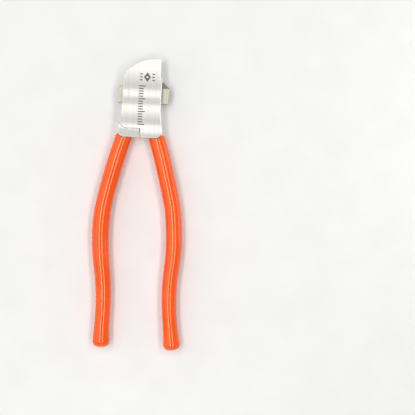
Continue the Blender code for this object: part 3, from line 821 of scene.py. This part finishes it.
def make_left_leg(materials, pivot):
    """Left pad, with the lever that reaches into the head and its tang."""
    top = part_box("left_leg")[1].z
    leg = face_plate("left_leg_steel", materials, top)
    lean_face(leg, top, pivot[1] - SEAM_RADIUS)
    half = REACH / 2
    right_side = plate("right_side", box_outline(-half, half, -half, half), -REACH, REACH)
    left_only = plate("left_only", left_region(pivot, SEAM_GAP / 2), -2 * REACH, 2 * REACH)
    cut(right_side, left_only)
    # The cut faces take the dark inner grey, which on the seam walls is painted shade.
    cut_dark(leg, materials, right_side)
    lever = plate("lever", lever_outline(pivot), LEVER_LOW, LEVER_TOP)
    round_edges(lever, BLOCK_EDGE, 2)
    join_dark(leg, materials, lever)
    cut(leg, hole(pivot, BUSH_RADIUS + GAP / 3, 0, top + GAP))
    clean(leg)
    round_edges(leg, BREAK, 2, 35, SATIN)
    join_dark(leg, materials, tang("left_tang", LEFT_HANDLE))
    smooth_shade(leg)
    return dress(leg, materials["polished_steel"], "polished_steel", "lever", "left_leg")


def make_back_plate(materials, pivot):
    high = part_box("back_plate")[1].z
    back = face_plate("back_plate_steel", materials, high)
    seam_low = pivot[1] - SEAM_RADIUS + GAP / 2
    cut(back, plate("left_corner", left_region(pivot, -GAP / 2), -REACH, REACH))
    cut(back, plate("below", box_outline(-GAP, REACH, -REACH, seam_low), -REACH, REACH))
    cutters = back_holes(REACH)
    cutters += [screw_hole(centre_of(n), DIE_SCREW, REACH) for n in named("die_screw")]
    bore = [(0, REACH), (PIN_RADIUS + GAP, REACH), (PIN_RADIUS + GAP, PIVOT_HEAD_TOP + GAP)]
    bore += [(PIVOT_SCREW_HEAD + GAP, PIVOT_HEAD_TOP + GAP), (PIVOT_SCREW_HEAD + GAP, -GAP), (0, -GAP)]
    cut(back, *cutters, turned("pivot_bore", bore, pivot))
    clean(back)
    round_edges(back, BREAK, 2, 35, SATIN)
    smooth_shade(back)
    return dress(back, materials["polished_steel"], "polished_steel", "frame", "back_plate")


def make_top_spacer(materials):
    """Fills the nose round the die block, with a groove for the bar's tongue."""
    low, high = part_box("top_spacer")
    die_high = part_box("die_block")[1].y
    spacer = plate("top_spacer_steel", head_outline(), low.z, high.z)
    region = [(-REACH, low.y), (DIE_LEFT - GAP, low.y), (DIE_LEFT - GAP, die_high + GAP)]
    region += [(REACH, die_high + GAP), (REACH, REACH), (-REACH, REACH)]
    keep_inside(spacer, plate("nose_region", region, -REACH, REACH))
    middle = (low.z + high.z) / 2
    half = TONGUE_HALF + GAP
    tongue_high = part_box("slide_bar")[1].y
    groove = box_outline(0, tongue_high + GAP, middle - half, middle + half)
    cut(spacer, bar("groove", groove, -REACH, REACH))
    clean(spacer)
    round_edges(spacer, BLOCK_EDGE, 2)
    cut(spacer, *back_holes(REACH))
    smooth_shade(spacer)
    return dress(spacer, materials["ground_steel"], "nickel_steel", "frame", "top_spacer")


def tooth_section(low_z, high_z, bar_high, growth):
    """The V of the tooth in Y and Z on top of the bar, grown outwards by growth."""
    middle = (low_z + high_z) / 2
    half = (high_z - low_z) / 2
    slope = math.atan2(half, TOOTH_APEX - bar_high)
    apex = TOOTH_APEX + growth / math.sin(slope)
    wide = half + growth / math.cos(slope)
    points = [(0, middle - wide), (bar_high, middle - wide), (apex, middle)]
    return points + [(bar_high, middle + wide), (0, middle + wide)]


def make_die_block(materials):
    low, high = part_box("die_block")
    bar_high = low.y - GAP
    die = plate("die_block_steel", head_outline(), low.z, high.z)
    keep_inside(die, plate("die_region", box_outline(low.x, REACH, low.y, high.y), -REACH, REACH))
    section = tooth_section(low.z, high.z, bar_high, GAP)
    cut(die, bar("die_channel", section, -REACH, REACH))
    clean(die)
    round_edges(die, BLOCK_EDGE, 2)
    for node in named("die_screw"):
        cut(die, hole(centre_of(node), DIE_SCREW[0] + GAP / 2, 0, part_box(node)[1].z + GAP))
    smooth_shade(die)
    return dress(die, materials["hard_steel"], "hard_steel", "frame", "die_block")


def make_slide_bar(materials, pivot):
    """The bar, with a notch for the lever's nose, a guide tongue and a tenon for the tip."""
    low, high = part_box("slide_bar")
    bar_high = high.y - TONGUE_RISE
    middle = (low.z + high.z) / 2
    corner = BAR_LEFT_CORNER
    outline = [(low.x + corner, low.y), (JOINT_X, low.y), (JOINT_X, bar_high)]
    outline += [(low.x + corner, bar_high), (low.x, bar_high - corner), (low.x, low.y + corner)]
    slide = plate("slide_bar_steel", outline, low.z, high.z)
    x, y = turn((0, LEVER_LENGTH), LEVER_LEAN)
    half = NOSE_PAD_RADIUS + GAP / 6
    rise = LEVER_LENGTH * (1 - math.cos(math.radians(LEVER_LEAN)))
    roof = pivot[1] + y + NOSE_PAD_RADIUS + rise + GAP
    notch = box_outline(pivot[0] + x - half, pivot[0] + x + half, -REACH, roof)
    cut(slide, plate("notch", notch, -REACH, REACH))
    round_edges(slide, BLOCK_EDGE, 3, 30)
    tongue = box_outline(bar_high - 2 * GAP, high.y, middle - TONGUE_HALF, middle + TONGUE_HALF)
    tongue = bar("tongue", tongue, low.x + GAP, TONGUE_RIGHT)
    round_edges(tongue, BLOCK_EDGE, 3)
    tenon = box_outline(*TENON, middle - TENON_HALF, middle + TENON_HALF)
    join(slide, tongue, bar("tenon", tenon, JOINT_X - 4 * GAP, high.x))
    cut(slide, hole(centre_of("punch_screw"), DIE_SCREW[0] + GAP, 0, REACH))
    clean(slide)
    smooth_shade(slide)
    return dress(slide, materials["nickel_steel"], "nickel_steel", "slide", "slide_bar")


def make_punch_tip(materials):
    """The replaceable tip. Its V tooth slopes at 45 degrees behind the cutting face."""
    low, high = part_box("punch_tip")
    bar_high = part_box("slide_bar")[1].y - TONGUE_RISE
    back = high.x - (high.y - bar_high)
    outline = [(low.x, low.y), (TIP_LOW_RIGHT, low.y), (high.x, bar_high), (back, high.y)]
    outline += [(TOOTH_FACE, high.y), (TOOTH_FACE, bar_high), (low.x, bar_high)]
    tip = plate("punch_tip_steel", outline, 0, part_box("right_leg")[1].z)
    keep_inside(tip, bar("tooth_form", tooth_section(low.z, high.z, bar_high, 0), -REACH, REACH))
    clean(tip)
    round_edges(tip, BLOCK_EDGE * 0.8, 3, 24)
    middle = (low.z + high.z) / 2
    half = TENON_HALF + GAP
    socket = box_outline(TENON[0] - GAP, TENON[1] + GAP, middle - half, middle + half)
    cut(tip, bar("socket", socket, 0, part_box("slide_bar")[1].x + GAP))
    cut(tip, screw_hole(centre_of("punch_screw"), DIE_SCREW, REACH, low.z))
    smooth_shade(tip)
    return dress(tip, materials["nickel_steel"], "nickel_steel", "slide", "punch_tip")


# Etched marks


def mark(x, y, width, height, top):
    """A thin upright box through the front face."""
    outline = box_outline(x - width / 2, x + width / 2, y - height / 2, y + height / 2)
    return plate("mark", outline, top - ETCH_DEPTH, top + ETCH_DEPTH)


def sign(top):
    """A plain diamond with a round hole, between two stacks of short bars."""
    x, y = SIGN_CENTRE
    wide, tall = SIGN_HALF
    outline = [(x - wide, y), (x, y + tall), (x + wide, y), (x, y - tall)]
    diamond = plate("diamond", outline, top - ETCH_DEPTH, top + ETCH_DEPTH)
    cut(diamond, hole(SIGN_CENTRE, SIGN_HOLE, top - REACH, top + REACH))
    marks = [diamond]
    for offset in SIDE_BARS:
        for row in (-1, 0, 1):
            marks.append(mark(x + offset, y + row * SIDE_BAR_STEP, *SIDE_BAR_SIZE, top))
    return marks


def scale_marks(top):
    """A graduated scale up the middle, with every fifth mark long."""
    marks = []
    for i in range(SCALE_MARKS):
        width = LONG_MARK if i % 5 == 0 else SHORT_MARK
        x = SCALE_X + (width - LONG_MARK) / 2
        marks.append(mark(x, SCALE_LOW + i * SCALE_STEP, width, MARK_WIDTH, top))
    return marks


def faint_marks(top):
    heights = [FAINT_LOW + i * FAINT_STEP for i in range(FAINT_MARKS)]
    return [mark(FAINT_X, y, FAINT_MARK, MARK_WIDTH / 2, top) for y in heights]


def gathered(name, marks, material):
    """One object made of many separate marks, in one colour."""
    work = bmesh.new()
    for piece in marks:
        work.from_mesh(piece.data)
        bpy.data.objects.remove(piece)
    mesh = bpy.data.meshes.new(name)
    work.to_mesh(mesh)
    work.free()
    mesh.materials.append(material)
    return link(bpy.data.objects.new(name, mesh))


def etch(leg, top, materials):
    """Sinks the marks a hair into the front plate. Their floors keep the marks' colour."""
    dark = gathered("dark_marks", scale_marks(top) + sign(top), materials["etched_dark"])
    faint = gathered("faint_marks", faint_marks(top), materials["etched_faint"])
    boolean(leg, "DIFFERENCE", [dark, faint], keep_colour=True)


# Handles


def rounded_end(path):
    """Carries the path on through a blunt round end."""
    last = Vector(path[-1][:2])
    heading = (last - Vector(path[-2][:2])).normalized()
    end = []
    for i in range(1, END_RINGS + 1):
        angle = math.radians(88 * i / END_RINGS)
        x, y = last + heading * END_LENGTH * math.sin(angle)
        end.append((x, y, path[-1][2] * math.cos(angle) ** END_BLUNTNESS))
    return path + end


def path_curve(name, path, reference):
    """A curve along the path, in the head's middle plane, scaled by the path's radius."""
    curve = bpy.data.curves.new(name, "CURVE")
    curve.dimensions = "3D"
    curve.twist_mode = "Z_UP"
    curve.use_fill_caps = True
    spline = curve.splines.new("POLY")
    spline.points.add(len(path) - 1)
    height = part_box("right_leg")[1].z / 2
    for point, (x, y, radius) in zip(spline.points, path):
        point.co = (x, y, height, 1)
        point.radius = radius / reference
    return curve


def section_curve(width, height, corner):
    """A rectangle with cut corners, as a section for a swept bar."""
    outline = []
    for x, y in ((1, 1), (-1, 1), (-1, -1), (1, -1)):
        near = (x * (width / 2 - corner), y * height / 2)
        far = (x * width / 2, y * (height / 2 - corner))
        outline += [far, near] if x == y else [near, far]
    return flat_curve("section", outline)


def tang(name, handle, growth=0.0, start=4):
    """The flat steel bar inside a grip, grown outwards by growth."""
    path = eased(smooth(handle[:TANG_KNOTS], HANDLE_STEPS))[start::3]
    if growth:
        last = Vector(path[-1][:2])
        heading = (last - Vector(path[-2][:2])).normalized()
        path.append((*(last + heading * 2 * growth), path[-1][2]))
    curve = path_curve(name, path, TANG_REFERENCE)
    width = TANG_WIDTH + 2 * growth
    height = TANG_HEIGHT + 2 * growth
    section = link(bpy.data.objects.new("section", section_curve(width, height, TANG_CORNER)))
    curve.bevel_mode = "OBJECT"
    curve.bevel_object = section
    piece = meshed(bpy.data.objects.new(name, curve))
    bpy.data.objects.remove(section)
    return piece


def make_grip(materials, handle, node, body):
    """A dipped grip with a round end, a soft lip and a bore over the tang."""
    curve = path_curve(node + "_vinyl", rounded_end(eased(smooth(handle, HANDLE_STEPS))), 1.0)
    curve.bevel_depth = 1.0
    curve.bevel_resolution = 22
    grip = meshed(bpy.data.objects.new(node + "_vinyl", curve), flat=False)
    foot = [point for point in head_foot(GAP) if point[1] < GRIP_TOP]
    above = [(REACH, GRIP_TOP)] + foot + [(-REACH, GRIP_TOP), (-REACH, REACH), (REACH, REACH)]
    cut(grip, plate("above", above, -REACH, REACH))
    round_edges(grip, GRIP_LIP, 4, 45)
    cut(grip, tang("bore", handle, GAP, 0))
    smooth_shade(grip, 50, flat=False)
    return dress(grip, materials["orange_vinyl"], "orange_vinyl", body, node)


# Screws


def make_screw(materials, node, sizes, body):
    """A countersunk screw with a hexagonal socket, a domed rim and a rounded point."""
    low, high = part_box(node)
    shank, head = sizes
    ease = SCREW_EASE
    land = low.z + SCREW_LAND
    profile = [(0, high.z), (shank - 2 * ease, high.z), (shank, high.z - 2 * ease)]
    profile += [(shank, land + head - shank), (head, land), (head, low.z + ease)]
    profile += [(head - ease * 0.3, low.z + ease * 0.3), (head - ease, low.z), (0, low.z)]
    screw = turned(node + "_screw", profile, centre_of(node))
    depth = 0.42 * head
    socket = [(0, low.z + depth), (0.46 * head, low.z + depth * 0.92), (0.46 * head, low.z - GAP)]
    cut(screw, turned("socket", socket + [(0, low.z - GAP)], centre_of(node), HEX_SIDES))
    mouth = [(0, low.z + 0.1 * head), (0.44 * head, low.z + 0.1 * head), (0.56 * head, low.z - GAP / 3)]
    cut(screw, turned("mouth", mouth + [(0, low.z - GAP / 3)], centre_of(node)))
    smooth_shade(screw)
    return dress(screw, materials["black_screw"], "black_screw", body, node)


def make_pivot_screw(materials):
    """A flat cheese head in the back plate, with a hexagonal socket."""
    low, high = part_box("pivot_screw")
    centre = centre_of("pivot_screw")
    ease = PIVOT_SCREW_EASE
    shank = PLATE_SCREW[0]
    head = PIVOT_SCREW_HEAD
    profile = [(0, high.z), (shank, high.z), (shank, PIVOT_HEAD_TOP), (head, PIVOT_HEAD_TOP)]
    profile += [(head, low.z + ease), (head - 0.3 * ease, low.z + 0.3 * ease)]
    profile += [(head - ease, low.z), (0, low.z)]
    screw = turned("pivot_screw_head", profile, centre)
    wide = PIVOT_SOCKET_RADIUS
    floor = low.z + PIVOT_SOCKET_DEPTH
    socket = [(0, floor + PIVOT_SOCKET_TIP), (wide, floor), (wide, low.z - GAP), (0, low.z - GAP)]
    cut(screw, turned("socket", socket, centre, HEX_SIDES))
    mouth_radius, mouth_depth = PIVOT_MOUTH
    outside = low.z - GAP / 3
    mouth = [(0, low.z + mouth_depth), (wide, low.z + mouth_depth), (mouth_radius, outside)]
    cut(screw, turned("mouth", mouth + [(0, outside)], centre))
    smooth_shade(screw)
    return dress(screw, materials["black_screw"], "black_screw", "frame", "pivot_screw")


def make_screws(materials):
    for node in named("plate_screw"):
        make_screw(materials, node, PLATE_SCREW, "frame")
    for node in named("die_screw"):
        make_screw(materials, node, DIE_SCREW, "frame")
    make_screw(materials, "punch_screw", DIE_SCREW, "slide")
    make_pivot_screw(materials)


def make_pins(materials):
    """Dowels and the stop pin, with domed ends."""
    for node in named("dowel") + ["stop_pin"]:
        low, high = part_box(node)
        radius = (high.x - low.x) / 2
        ease = PIN_EASE
        profile = [(0, high.z), (radius - ease, high.z), (radius, high.z - ease), (radius, low.z + ease)]
        profile += [(radius - 0.3 * ease, low.z + 0.3 * ease), (radius - ease, low.z), (0, low.z)]
        shaft = turned(node + "_shaft", profile, centre_of(node))
        smooth_shade(shaft)
        dress(shaft, materials["hard_steel"], "hard_steel", "frame", node)


def dress_inner_parts(materials):
    """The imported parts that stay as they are, deep inside the head."""
    finishes = {
        "pivot_pin": "hard_steel",
        "wave_washer": "hard_steel",
        "pivot_bush": "bronze",
        "thrust_washer": "bronze",
    }
    for node, finish in finishes.items():
        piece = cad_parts[node]
        piece.data.materials.clear()
        piece.data.materials.append(materials[finish])


# Stage


def make_floor():
    nodes = Nodes("pale_floor")
    grain = nodes.noise(30, 2.0)
    colour = nodes.ramp(grain, (0.86, 0.86, 0.85), (0.89, 0.89, 0.88))
    nodes.set(base_color=colour, roughness=0.85)
    work = bmesh.new()
    bmesh.ops.create_grid(work, x_segments=1, y_segments=1, size=FLOOR_SIZE)
    mesh = bpy.data.meshes.new("floor")
    work.to_mesh(mesh)
    work.free()
    mesh.materials.append(nodes.material)
    floor = link(bpy.data.objects.new("floor", mesh))
    floor.location.z = -FLOOR_DROP


def make_world():
    """Even soft light, brighter low round the room than overhead."""
    world = bpy.data.worlds.new("studio")
    bpy.context.scene.world = world
    world.use_nodes = True
    tree = world.node_tree
    background = tree.nodes["Background"]
    background.inputs["Color"].default_value = (1.0, 1.0, 1.0, 1)
    place = tree.nodes.new("ShaderNodeTexCoord")
    split = tree.nodes.new("ShaderNodeSeparateXYZ")
    fade = tree.nodes.new("ShaderNodeMapRange")
    fade.interpolation_type = "SMOOTHSTEP"
    fade.inputs["From Min"].default_value = 0.0
    fade.inputs["From Max"].default_value = WORLD_FADE
    fade.inputs["To Min"].default_value = WORLD_LOW
    fade.inputs["To Max"].default_value = WORLD_HIGH
    tree.links.new(place.outputs["Generated"], split.inputs["Vector"])
    tree.links.new(split.outputs["Z"], fade.inputs["Value"])
    tree.links.new(fade.outputs["Result"], background.inputs["Strength"])


def area_light(name, place, target, size, radiance):
    """A rectangular lamp of even radiance that faces its target. Its first side is level."""
    light = bpy.data.lights.new(name, "AREA")
    light.shape = "RECTANGLE"
    light.size = size[0]
    light.size_y = size[1]
    light.energy = radiance * math.pi * size[0] * size[1]
    lamp = link(bpy.data.objects.new(name, light))
    lamp.location = place
    direction = Vector(target) - Vector(place)
    lamp.rotation_euler = direction.to_track_quat("-Z", "Y").to_euler()
    return lamp


def make_lights():
    for lamp in LAMPS:
        area_light(*lamp)
    make_plate_bands()


def make_plate_bands():
    """Thin lamps high over the head, which its flat front mirrors as bright bands across it."""
    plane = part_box("right_leg")[1].z
    ratio = (BAND_HEIGHT - plane) / VIEW_DISTANCE
    strips = [(BAND_BOTTOM, BAND_TOP, BAND_BASE)]
    for low, high in SHARP_BANDS:
        strips.append((low, high, BAND_RADIANCE))
    for sharp, start, full in FADING_BANDS:
        for i in range(BAND_STEPS):
            edge = start + (full - start) * i / (BAND_STEPS - 1)
            strips.append((min(edge, sharp), max(edge, sharp), BAND_RADIANCE / BAND_STEPS))
    for i, (low, high, radiance) in enumerate(strips):
        edges = [y + (y - VIEW_CENTRE[1]) * ratio for y in (low, high)]
        place = Vector((BAND_X, sum(edges) / 2, BAND_HEIGHT + i * BAND_LIFT))
        below = place - Vector((0, 0, 1))
        strip = area_light("band", place, below, (BAND_LENGTH, edges[1] - edges[0]), radiance)
        strip.rotation_euler = (0, 0, 0)


def make_camera():
    data = bpy.data.cameras.new("camera")
    data.sensor_width = SENSOR
    data.lens = SENSOR * VIEW_DISTANCE / VIEW_WIDTH
    data.clip_start = CLIP_START
    camera = link(bpy.data.objects.new("camera", data))
    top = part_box("right_leg")[1].z
    camera.location = (*VIEW_CENTRE, top + VIEW_DISTANCE)
    camera.rotation_euler = (0, 0, math.radians(VIEW_TURN))
    bpy.context.scene.camera = camera


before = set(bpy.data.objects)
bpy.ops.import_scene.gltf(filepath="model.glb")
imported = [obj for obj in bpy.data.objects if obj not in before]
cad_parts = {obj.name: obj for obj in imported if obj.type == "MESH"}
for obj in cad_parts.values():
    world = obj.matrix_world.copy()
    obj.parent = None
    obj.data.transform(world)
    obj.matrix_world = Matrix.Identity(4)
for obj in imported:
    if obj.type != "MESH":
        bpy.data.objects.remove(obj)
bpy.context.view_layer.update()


def main():
    bpy.context.scene.view_settings.view_transform = "Standard"
    make_camera()
    materials = make_materials()
    pivot = centre_of("pivot_pin")
    make_right_leg(materials, pivot)
    make_left_leg(materials, pivot)
    make_back_plate(materials, pivot)
    make_top_spacer(materials)
    make_die_block(materials)
    make_slide_bar(materials, pivot)
    make_punch_tip(materials)
    make_screws(materials)
    make_pins(materials)
    dress_inner_parts(materials)
    make_grip(materials, RIGHT_HANDLE, "right_grip", "frame")
    make_grip(materials, LEFT_HANDLE, "left_grip", "lever")
    make_floor()
    make_world()
    make_lights()


main()
